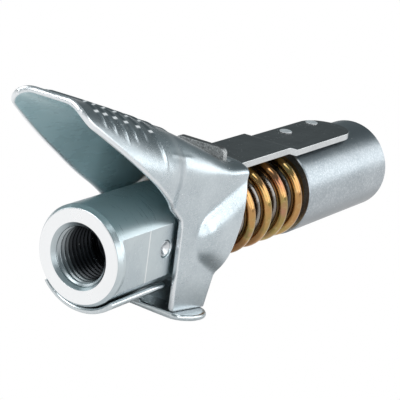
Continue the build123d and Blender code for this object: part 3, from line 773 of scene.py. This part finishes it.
def dashes(u, w):
    """1 on short painted glints where rows along the pad cross the ribs, 0 elsewhere."""
    rubbed = np.zeros_like(u)
    for crest, _ in RIBS[:GLINT_RIBS]:
        for row in DASH_ROWS:
            beside = smooth_step((DASH_HALF_WIDTH - np.abs(np.abs(w) - row)) / DASH_BLUR + 0.5)
            rubbed += beside * smooth_step((DASH_HALF_LENGTH - np.abs(u - crest)) / DASH_BLUR + 0.5)
    return np.clip(rubbed, 0, 1)


def bulge_height(x, z):
    """Dome that leaves the cheek at a crease on the fan's edge and is rounded right across its width."""
    along_fan = (x - PIVOT[0]) * math.cos(BULGE_DROOP) - (z - PIVOT[1]) * math.sin(BULGE_DROOP)
    half_width = BULGE_NOSE_R + BULGE_SKIRT + math.sin(BULGE_HALF_ANGLE) * np.maximum(along_fan, 0)
    share = (BULGE_SKIRT - fan_distance(x, z)) / half_width
    inward = np.clip((share + np.sqrt(share**2 + BULGE_BLEND**2)) / 2, 0, 1)
    return BULGE_SWELL * (1 - (1 - inward) ** BULGE_FULLNESS)


def cheek_crease(u, w):
    """Fine raised line on each cheek, a tent in section, from under the last ribs towards the crown."""
    span = np.clip((u - CREASE[0][0]) / (CREASE[1][0] - CREASE[0][0]), 0, 1)
    line = CREASE[0][1] + (CREASE[1][1] - CREASE[0][1]) * span
    ends = np.clip(4 * span, 0, 1) * np.clip(4 * (1 - span), 0, 1)
    return CREASE_HEIGHT * ends * np.clip(1 - np.abs(np.abs(w) - line) / CREASE_HALF_WIDTH, 0, 1)


def falling_off(index, span, reach):
    """1 from the first to the last of the span, falling in a straight line to 0 at the reach beyond."""
    return np.clip(1 - np.maximum(np.maximum(span[0] - index, index - span[1]), 0) / reach, 0, 1)


def fit_slot(u, w):
    """Draws the grid's nearest rows and columns onto the slot's sides; also gives which ones these are."""
    rows, columns = u.shape
    middle = columns // 2
    row_index = np.arange(rows)[:, None]
    column_index = np.arange(columns)[None, :]
    place = skin_point(u, w)
    crown_x = place[rows // 2 :, middle, 0]
    slot_rows = [int(np.argmin(np.abs(crown_x - x))) + rows // 2 for x in SLOT]
    first_column = int(np.argmin(np.abs(place[slot_rows[0], :middle, 1] + SLOT_HALF_WIDTH)))
    slot_columns = [first_column, columns - 1 - first_column]
    in_rows = falling_off(row_index, slot_rows, SLOT_DRAW_FADE)
    in_columns = falling_off(column_index, slot_columns, SLOT_DRAW_FADE)
    row_draw = min(SLOT_DRAW, slot_rows[1] - slot_rows[0])
    for _ in range(3):
        place = skin_point(u, w)
        for row, x in zip(slot_rows, SLOT):
            u = u + falling_off(row_index, (row, row), row_draw) * in_columns * (x - place[row, :, 0])
        for column in slot_columns:
            gap = np.sign(column - middle) * SLOT_HALF_WIDTH - place[:, column, 1]
            w = w + falling_off(column_index, (column, column), SLOT_DRAW) * in_rows * gap[:, None]
    return u, w, slot_rows, slot_columns


def lever_skin():
    """Outer skin, inner skin one sheet further in, and both drawn together in a half round at every edge."""
    u, w = lever_grid(LEVER_ROWS, LEVER_HALF_COLUMNS)
    u = np.concatenate([u[:, :0:-1], u], axis=1)
    w = np.concatenate([-w[:, :0:-1], w], axis=1)
    u, w, slot_rows, slot_columns = fit_slot(u, w)
    rows, columns = u.shape
    place = skin_point(u, w)
    x, y, z = np.moveaxis(place, -1, 0)
    slot_gap = np.maximum(np.maximum(SLOT[0] - x, x - SLOT[1]), np.abs(y) - SLOT_HALF_WIDTH)
    slot_gap = np.where(z > SLOT_FLOOR_Z, np.maximum(slot_gap, 0), SHEET)
    row_index = np.arange(rows)[:, None]
    column_index = np.arange(columns)[None, :]
    in_span = (row_index >= slot_rows[0]) & (row_index <= slot_rows[1])
    in_width = (column_index >= slot_columns[0]) & (column_index <= slot_columns[1])
    on_rim = np.isin(row_index, slot_rows) & in_width | np.isin(column_index, slot_columns) & in_span
    slot_gap = np.where(on_rim, 0, slot_gap)
    on_wall = np.abs(y) > CHEEK_HALF_WIDTH - 0.05
    place[..., 1] += np.sign(y) * bulge_height(x, z) * on_wall
    normal = outward(place)
    from_edge = np.clip(edge_distance(place, slot_gap) / (SHEET / 2), 0, 1)
    pressed = ((rib_height(u, w) + cheek_crease(u, w)) * from_edge)[..., None]
    skins = two_skins(place - normal * SHEET / 2, normal, from_edge, pressed)
    faces = grid_faces(rows, columns)
    row, column = faces[:, 0] // columns, faces[:, 0] % columns
    in_slot_rows = (row >= slot_rows[0]) & (row < slot_rows[1])
    in_slot_columns = (column >= slot_columns[0]) & (column < slot_columns[1])
    faces = faces[~(in_slot_rows & in_slot_columns)]
    obj = make_mesh("lever_pressed_sheet", skins, np.concatenate([faces[:, ::-1], faces + rows * columns]))
    # Painted highlight along every edge of the sheet
    edge_light = EDGE_HIGHLIGHT_SHARE * (1 - from_edge) ** 0.5
    unmarked = np.zeros_like(u)
    mark(obj, "edge_wear", edge_light, edge_light)
    # Painted glints where the ribs cross two rows along the pad
    mark(obj, "rubbed", dashes(u, w), unmarked)
    # Painted shade between the ribs
    mark(obj, "ribbed", between_ribs(u, w) * from_edge, unmarked)
    # Painted reflection tone on the inner skin
    mark(obj, "inner_side", unmarked, from_edge**2)
    join_edges(obj)
    return dress(obj, LEVER_ZINC, "lever", "lever_plating", "lever")


# Inlet body


def supported(path, gap=0.06):
    """The path with a point added near both ends of each long run, so that the runs shade flat."""
    path = np.asarray(path, float)
    steps = np.diff(path, axis=0)
    length = np.linalg.norm(steps, axis=1)
    reach = np.where(length > 4 * gap, gap / length, 0.0)[:, None]
    every = np.stack([path[:-1], path[:-1] + steps * reach, path[1:] - steps * reach], axis=1).reshape(-1, 2)
    every = np.concatenate([every, path[-1:]])
    moved = np.linalg.norm(np.diff(every, axis=0), axis=1) > 1e-9
    return every[np.concatenate([[True], moved])]


def body_columns():
    """Angles round X, close together over the pins and at the edges of the flats."""
    flat_edge = math.degrees(math.acos(FLAT_Y / BODY_R))
    relief_edge = math.degrees(math.acos(RELIEF_Y / BODY_R))
    quarter = np.concatenate(
        [
            np.arange(0, 12, 0.6),
            np.arange(12, flat_edge - 1, 1.8),
            flat_edge + np.array([-0.5, 0, 0.5]),
            [relief_edge],
            np.arange(relief_edge + 2, 90, 2.6),
            [90],
        ]
    )
    every = np.concatenate([quarter, 180 - quarter, 180 + quarter, 360 - quarter]) % 360
    return np.radians(np.unique(np.round(every, 4)))


def inlet_body():
    """Turned profile carried round X, its radius a helix down the bore, with the flats as a limit on y."""
    turn = body_columns()[None, :]
    front = supported(
        rounded_path(
            [(0, MOUTH_R), (0, BODY_R - FACE_CHAMFER[1]), (FACE_CHAMFER[0], BODY_R), (FLAT_SPAN[0], BODY_R)],
            radii=[0.22, 0.35],
            steps=4,
        )
    )
    flats_x = np.concatenate(
        [
            FLAT_SPAN[0] + np.array([0.05, 0.12, 0.5]),
            np.arange(3, PIN_X - 1.6, 1.5),
            np.arange(PIN_X - 1.5, PIN_X + 1.52, 0.09),
            FLAT_SPAN[1] + np.array([-0.08, 0, 0.04, 0.12]),
            np.arange(16, BODY_LENGTH - 0.4, 1.0),
        ]
    )
    behind = supported(
        rounded_path(
            [
                (BODY_LENGTH - 0.4, BODY_R),
                (BODY_LENGTH, BODY_R),
                (BODY_LENGTH, SOCKET_R),
                (SOCKET_X, SOCKET_R),
                (SOCKET_X, POCKET_R),
                (POCKET_X, POCKET_R),
                (POCKET_X, THREAD_R),
            ],
            radii=[0.2, 0.1, 0.05, 0.05, 0.05],
            steps=3,
        )
    )
    shell = np.concatenate([front, np.stack([flats_x, np.full_like(flats_x, BODY_R)], axis=1), behind])
    bore_x = np.arange(POCKET_X - 0.05, 0.0, -THREAD_PITCH / 12)[:, None]
    phase = (bore_x / THREAD_PITCH - turn / (2 * math.pi)) % 1
    groove = np.clip((np.abs(2 * phase - 1) - THREAD_FLAT) / (1 - 2 * THREAD_FLAT), 0, 1)
    fade = smooth_step(POCKET_X - THREAD_RUN_OUT - bore_x)
    bore_r = np.maximum(THREAD_R + THREAD_DEPTH * groove * fade, MOUTH_R - bore_x)
    x = np.concatenate([shell[:, :1], bore_x])
    r = np.concatenate([np.broadcast_to(shell[:, 1:], (len(shell), turn.size)), bore_r])
    y, z = r * np.cos(turn), r * np.sin(turn)
    limit = np.where(x < FLAT_SPAN[0] + 0.03, BODY_R, np.where(x < FLAT_SPAN[1] + 0.02, FLAT_Y, RELIEF_Y))
    past_rim = PIN_R + PIN_RECESS_EDGE - np.hypot(x - PIN_X, z - PIN_Z)
    limit = limit - PIN_RECESS * smooth_step(past_rim / PIN_RECESS_EDGE) * (r > FLAT_Y)
    y = np.clip(y, -limit, limit)
    points = np.stack([np.broadcast_to(x, y.shape), y, z], axis=-1)
    faces = grid_faces(*y.shape, round_rows=True, round_columns=True)
    obj = make_mesh("inlet_body_threaded", points.reshape(-1, 3), faces)
    return dress(obj, BODY_STEEL, "coupler_body", "body_steel", "inlet_body")


def turned_form(profile, sides):
    """Points of a (height, radius) profile carried round an upright axis, closed by a cap at both ends."""
    turn = np.arange(sides) / sides * 2 * math.pi
    height, radius = (column[:, None] for column in np.asarray(profile, float).T)
    rings = np.stack(np.broadcast_arrays(radius * np.cos(turn), radius * np.sin(turn), height), axis=-1)
    points = rings.reshape(-1, 3)
    faces = grid_faces(len(profile), sides, round_columns=True).tolist()
    return points, faces + [list(range(sides))[::-1], list(range(len(points) - sides, len(points)))]


def several(forms):
    """Points and faces of several forms put together."""
    starts = np.cumsum([0] + [len(points) for points, _ in forms])
    faces = []
    for start, (_, form) in zip(starts.tolist(), forms):
        faces += [[start + corner for corner in face] for face in form]
    return np.concatenate([points for points, _ in forms]), faces


def lock_pins():
    """Two pins with dished ends: a turned profile laid along Y in the near flat, and its mirror image."""
    end = [(FLAT_Y - depth, radius) for depth, radius in PIN_END]
    points, faces = turned_form(supported([(PIN_INNER, 0.2), (PIN_INNER, PIN_R)] + end, 0.03), 48)
    near = np.stack([points[:, 0], -points[:, 2], points[:, 1]], axis=1) + [PIN_X, 0, PIN_Z]
    far = near * [1, -1, 1]
    obj = make_mesh("lock_pin_ends", *several([(near, faces), (far, [face[::-1] for face in faces])]))
    return dress(obj, PIN_STEEL, "coupler_body", "pin_steel", "lock_pins")


def rivets():
    """Low rivets: a turned shank through the bar, and a head whose ring stands round a shallow dish."""
    forms = []
    for x, y in RIVET_PLACES:
        foot = math.sqrt(SLEEVE_BORE_R**2 - y**2)
        shank = [(foot, 0.1), (foot, RIVET_R), (RIVET_Z, RIVET_R)]
        head = [(RIVET_Z + height, radius) for height, radius in RIVET_HEAD]
        points, faces = turned_form(supported(shank + head, 0.02), 40)
        forms.append((points + [x, y, 0], faces))
    obj = make_mesh("draw_bar_rivet_heads", *several(forms))
    corners = len(obj.data.vertices)
    # Painted highlight over the whole rivet heads
    mark(obj, "edge_wear", np.full(corners, 0.9))
    # Painted glint over the whole rivet heads
    mark(obj, "rubbed", np.full(corners, 0.4))
    return dress(obj, BAR_ZINC, "sleeve", "bar_plating", "draw_bar_rivets")


# Stop plate


def sheet_form(core):
    """A sheet round its middle surface: a skin on each side, drawn together in a half round at the edges."""
    rows, columns = core.shape[:2]
    from_edge = np.clip(edge_distance(core, np.inf) / (SHEET / 2), 0, 1)
    faces = grid_faces(rows, columns)
    faces = np.concatenate([faces[:, ::-1], faces + rows * columns])
    return two_skins(core, outward(core), from_edge), faces.tolist()


def closing_ends(count):
    """Shares from 0 to 1 that close up towards both ends, as half a cosine."""
    return (1 - np.cos(np.linspace(0, math.pi, count))) / 2


def surface(x, y, z):
    """Grid of places from three arrays that stretch to one shape."""
    return np.stack(np.broadcast_arrays(x, y, z), axis=-1)


def stop_plate():
    """Four sheets: the floor with its round tabs, the cradle round the body, the neck and the bulkhead.

    The floor slopes straight down, and its width swells by a half ellipse for the tabs. The cradle is part of
    a tube. The neck drops from it to the floor in a smooth step, and the bulkhead is cut round the body.
    """
    a = 2 * closing_ends(90)[None, :] - 1
    s = FLOOR_LENGTH * closing_ends(70)[:, None]
    round_tab = np.sqrt(np.clip(1 - ((s - TAB_LENGTH / 2) / (TAB_LENGTH / 2)) ** 2, 0, 1))
    floor = surface(
        CHEEK_FRONT + s * math.cos(FLOOR_FALL) - SHEET / 2 * math.sin(FLOOR_FALL),
        a * (FLOOR_HALF_WIDTH + TAB_REACH * round_tab),
        CHEEK_BOTTOM - s * math.sin(FLOOR_FALL) - SHEET / 2 * math.cos(FLOOR_FALL),
    )

    turn = CRADLE_HALF_ANGLE * a
    middle_r = CRADLE_R + SHEET / 2
    x = CRADLE_SPAN[0] + (CRADLE_SPAN[1] - CRADLE_SPAN[0]) * closing_ends(50)[:, None]
    cradle = surface(x, middle_r * np.sin(turn), -middle_r * np.cos(turn))

    t = closing_ends(30)[:, None]
    start, end = CRADLE_SPAN[1] - NECK_LAPS[0], CHEEK_FRONT + NECK_LAPS[1]
    foot = CHEEK_BOTTOM - SHEET / 2 - NECK_DROP
    half_width = NECK_HALF_WIDTH + NECK_FLARE * (2 * t - 1) ** 4
    across = (2 * closing_ends(30)[None, :] - 1) * half_width
    drop = (foot + middle_r) * smooth_step((t - 0.15) / 0.7)
    neck = surface(start + (end - start) * t, across, drop - middle_r)

    y = (CHEEK_HALF_WIDTH - SHEET - BULKHEAD_GAP) * (2 * closing_ends(40)[None, :] - 1)
    top = np.minimum(-np.sqrt(np.maximum(BULKHEAD_R**2 - y**2, 0)), -BULKHEAD_R / 2)
    foot = CHEEK_BOTTOM - (BULKHEAD_X - CHEEK_FRONT) * math.tan(FLOOR_FALL) - SHEET / 2
    bulkhead = surface(BULKHEAD_X, y, foot + (top - foot) * closing_ends(30)[:, None])

    points, faces = several([sheet_form(core) for core in (floor, cradle, neck, bulkhead)])
    obj = make_mesh("stop_plate_pressed", points, faces)
    join_edges(obj)
    return dress(obj, PLATE_ZINC_LIGHTENED, "lever", "lever_plating", "stop_plate")


# Springs


def coil(name, mean_r, wire_r, start, end, turns, steps, sides, start_angle=0.0):
    """Round wire carried along a helix from start to end, whose pitch falls where its end turns close up."""
    closed_turns, closed_pitch, blend, cut_end = 0.75, 2.3 * wire_r, 0.25, 0.88
    count = int(turns * steps) + 1
    turn = np.arange(count) / steps
    middle = turn[:-1] + 0.5 / steps
    open_pitch = (end - start - 2 * wire_r - 2 * closed_turns * closed_pitch) / (turns - 2 * closed_turns)
    from_end = np.minimum(middle, turns - middle) - closed_turns
    pitch = closed_pitch + (open_pitch - closed_pitch) * np.clip((from_end + blend) / (2 * blend), 0, 1)
    kernel = np.ones(25) / 25
    pitch = np.convolve(np.pad(pitch, len(kernel) // 2, mode="edge"), kernel, mode="valid")
    pitch *= (end - start - 2 * wire_r) / (pitch.sum() / steps)
    x = start + wire_r + np.concatenate([[0], np.cumsum(pitch)]) / steps
    angle = start_angle + turn * 2 * math.pi
    out = np.stack([np.zeros(count), np.cos(angle), np.sin(angle)], axis=1)
    centre = np.stack([x, mean_r * np.cos(angle), mean_r * np.sin(angle)], axis=1)
    ahead = np.gradient(centre, axis=0)
    ahead /= np.linalg.norm(ahead, axis=1)[:, None]
    side = np.cross(ahead, out)
    a = (np.arange(sides) / sides * 2 * math.pi)[None, :, None]
    ring = out[:, None, :] * np.cos(a) + side[:, None, :] * np.sin(a)
    ring[[0, -1]] *= cut_end
    points = centre[:, None, :] + wire_r * ring
    faces = grid_faces(count, sides, round_columns=True)
    caps = [list(range(sides))[::-1], list(range((count - 1) * sides, count * sides))]
    return make_mesh(name, points.reshape(-1, 3), faces.tolist() + caps)


def release_spring():
    """Coil that shortens towards its seat ring as the sleeve comes back, made here at one length on a mesh of
    its own.
    """
    size = {"mean_r": 7.0, "wire_r": 1.0, "start": 26.5, "end": 55.2, "turns": 6.0}
    obj = coil("release_spring_wire", **size, steps=72, sides=28, start_angle=math.radians(60))
    dress(obj, SPRING_CHROMATE, "coupler_body", "yellow_chromate", "release_spring")
    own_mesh(obj)


def check_spring():
    """Coil that shortens towards the end of its bore as the ball lifts 0.8 mm, made here at one length on a
    mesh of its own.
    """
    size = {"mean_r": 1.75, "wire_r": 0.25, "start": 15.5, "end": 22.0, "turns": 4.0}
    obj = coil("check_spring_wire", **size, steps=36, sides=12)
    dress(obj, WIRE_STEEL, "coupler_body", "spring_wire", "check_spring")
    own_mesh(obj)


def seal_spring():
    """Coil that shortens towards its shoulder in the barrel as the seal's carrier is pushed in 0.7 mm, made
    here at one length on a mesh of its own.
    """
    size = {"mean_r": 2.15, "wire_r": 0.35, "start": 52.0, "end": 59.95, "turns": 4.0}
    obj = coil("seal_spring_wire", **size, steps=36, sides=12)
    dress(obj, WIRE_STEEL, "coupler_body", "spring_wire", "seal_spring")
    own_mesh(obj)


lever_skin()
inlet_body()
lock_pins()
rivets()
stop_plate()
release_spring()
check_spring()
seal_spring()
rounded_copy("sleeve_rounded", "sleeve", SLEEVE_ZINC, "sleeve", "sleeve_zinc", width=0.15)
rounded_copy("draw_bar_rounded", "draw_bar", BAR_ZINC, "sleeve", "bar_plating", width=0.22)

# The solids that show as they are
SHOWN_SOLIDS = (
    (BODY_STEEL, ("spring_seat",)),
    (PIN_STEEL, ("check_seat",)),
    (BARREL_STEEL_SHADED, ("barrel", "check_ball", "seal_piston")),
    (WIRE_STEEL, ("jaw_expander",)),
    (JAW_STEEL, ("jaw_1", "jaw_2", "jaw_3", "jaw_4")),
    (BUSH_BRONZE, ("sleeve_bush",)),
    (RUBBER, ("barrel_seal", "nozzle_seal")),
)
for finish, names in SHOWN_SOLIDS:
    for name in names:
        NODES[name].data.materials.clear()
        NODES[name].data.materials.append(finish)


# Stage, light and camera

FLOOR_SIZE = 2.0
FLOOR_Z = -0.01295
FLOOR_GREY = (0.8, 0.8, 0.8)
WHITE = (1.0, 1.0, 1.0)
SHADE_MIDDLE_X = 24.0
SHADE_SPAN = (13.0, 22.0)
SHADE_DEPTH = 0.95
SKY_COLOUR = (0.70, 0.82, 0.86)
SKY_STRENGTH = 0.36
LAMP_TARGET = (32, 0, 3)
SOFT_BOXES = (
    ("key_right", (274, -157, 88), 160, 160, 0.17),
    ("overhead", (-26, -128, 291), 150, 100, 0.16),
    ("left", (-211, 96, 129), 120, 120, 0.20),
    ("near", (123, -265, 110), 180, 190, 0.29),
    ("near_left", (-95, -258, 75), 250, 150, 0.23),
    ("behind", (-60, 330, 140), 240, 160, 0.25),
)


def floor_white():
    """Pale grey for light, but seen white by the camera and in reflections, which carry a painted shadow
    under the part.

    The painted shadow is an oval: the length of (0.8 x, y) from its middle, smoothed between two radii.
    """
    f = Finish("floor_white", Roughness=0.9)
    f.feed(f.shader.inputs["Base Color"], FLOOR_GREY)
    by_camera = f.node("ShaderNodeLightPath", output="Is Camera Ray")
    by_gloss = f.node("ShaderNodeLightPath", output="Is Glossy Ray")
    given = {0: f.stretched(0.8, 1, 0), 1: (0.8 * SHADE_MIDDLE_X, 0, 0)}
    from_middle = f.node("ShaderNodeVectorMath", {"operation": "SUBTRACT"}, given)
    away = f.node("ShaderNodeVectorMath", {"operation": "LENGTH"}, {0: from_middle}, "Value")
    # Painted shadow: how much white the glossy rays see, low near the part
    clear = 1.0 - SHADE_DEPTH + SHADE_DEPTH * f.rise(away, *SHADE_SPAN)
    shown = f.math("MAXIMUM", by_camera, by_gloss) * f.math("MAXIMUM", by_camera, clear)
    lit = Value(f, f.shader.outputs[0])
    seen = f.node("ShaderNodeEmission", None, {"Color": WHITE})
    mixed = f.node("ShaderNodeMixShader", None, {0: shown, 1: lit, 2: seen})
    f.feed(f.tree.nodes["Material Output"].inputs["Surface"], mixed)
    return f.material


def stage_floor():
    """Square plane at the floor's height."""
    half = FLOOR_SIZE / 2
    corners = [(x, y, FLOOR_Z) for x, y in ((-half, -half), (half, -half), (half, half), (-half, half))]
    mesh = bpy.data.meshes.new("floor")
    mesh.from_pydata(corners, [], [(0, 1, 2, 3)])
    mesh.materials.append(floor_white())
    obj = bpy.data.objects.new("floor", mesh)
    bpy.context.scene.collection.objects.link(obj)


def studio():
    """Pale blue surroundings for light and reflections, white behind the part for the camera."""
    world = bpy.data.worlds.new("studio")
    world.use_nodes = True
    bpy.context.scene.world = world
    sky = Nodes(world.node_tree)
    background = sky.tree.nodes["Background"]
    sky.feed(background.inputs["Color"], SKY_COLOUR)
    sky.feed(background.inputs["Strength"], SKY_STRENGTH)
    lit = Value(sky, background.outputs[0])
    seen = sky.node("ShaderNodeBackground", None, {"Color": WHITE})
    by_camera = sky.node("ShaderNodeLightPath", output="Is Camera Ray")
    mixed = sky.node("ShaderNodeMixShader", None, {0: by_camera, 1: lit, 2: seen})
    sky.feed(sky.tree.nodes["World Output"].inputs["Surface"], mixed)


def soft_box(name, place, width, height, watts):
    """Rectangular lamp at a place in millimetres, turned to the part."""
    lamp = bpy.data.lights.new(name, "AREA")
    lamp.shape = "RECTANGLE"
    lamp.size, lamp.size_y = width * MM, height * MM
    lamp.energy = watts
    obj = bpy.data.objects.new(name, lamp)
    bpy.context.scene.collection.objects.link(obj)
    obj.location = Vector(place) * MM
    towards = Vector(LAMP_TARGET) * MM - obj.location
    obj.rotation_euler = towards.to_track_quat("-Z", "Y").to_euler()


stage_floor()
studio()
for box in SOFT_BOXES:
    soft_box(*box)

# Camera, fitted to the part's edges in the photograph
camera = bpy.data.objects.new("camera", bpy.data.cameras.new("camera"))
bpy.context.scene.collection.objects.link(camera)
camera.data.sensor_width = 36.0
camera.data.lens = 146.02
camera.data.clip_start, camera.data.clip_end = 0.01, 10.0
forward = Vector((0.80806, 0.50267, -0.30719))
right = Vector((0.55829, -0.81986, 0.12702))
up = Vector((0.18801, 0.27414, 0.94315))
camera.matrix_world = Matrix((right, up, -forward)).transposed().to_4x4()
camera.location = Vector((-184.87, -135.06, 85.11)) * MM
bpy.context.scene.camera = camera
bpy.context.scene.view_settings.view_transform = "Standard"
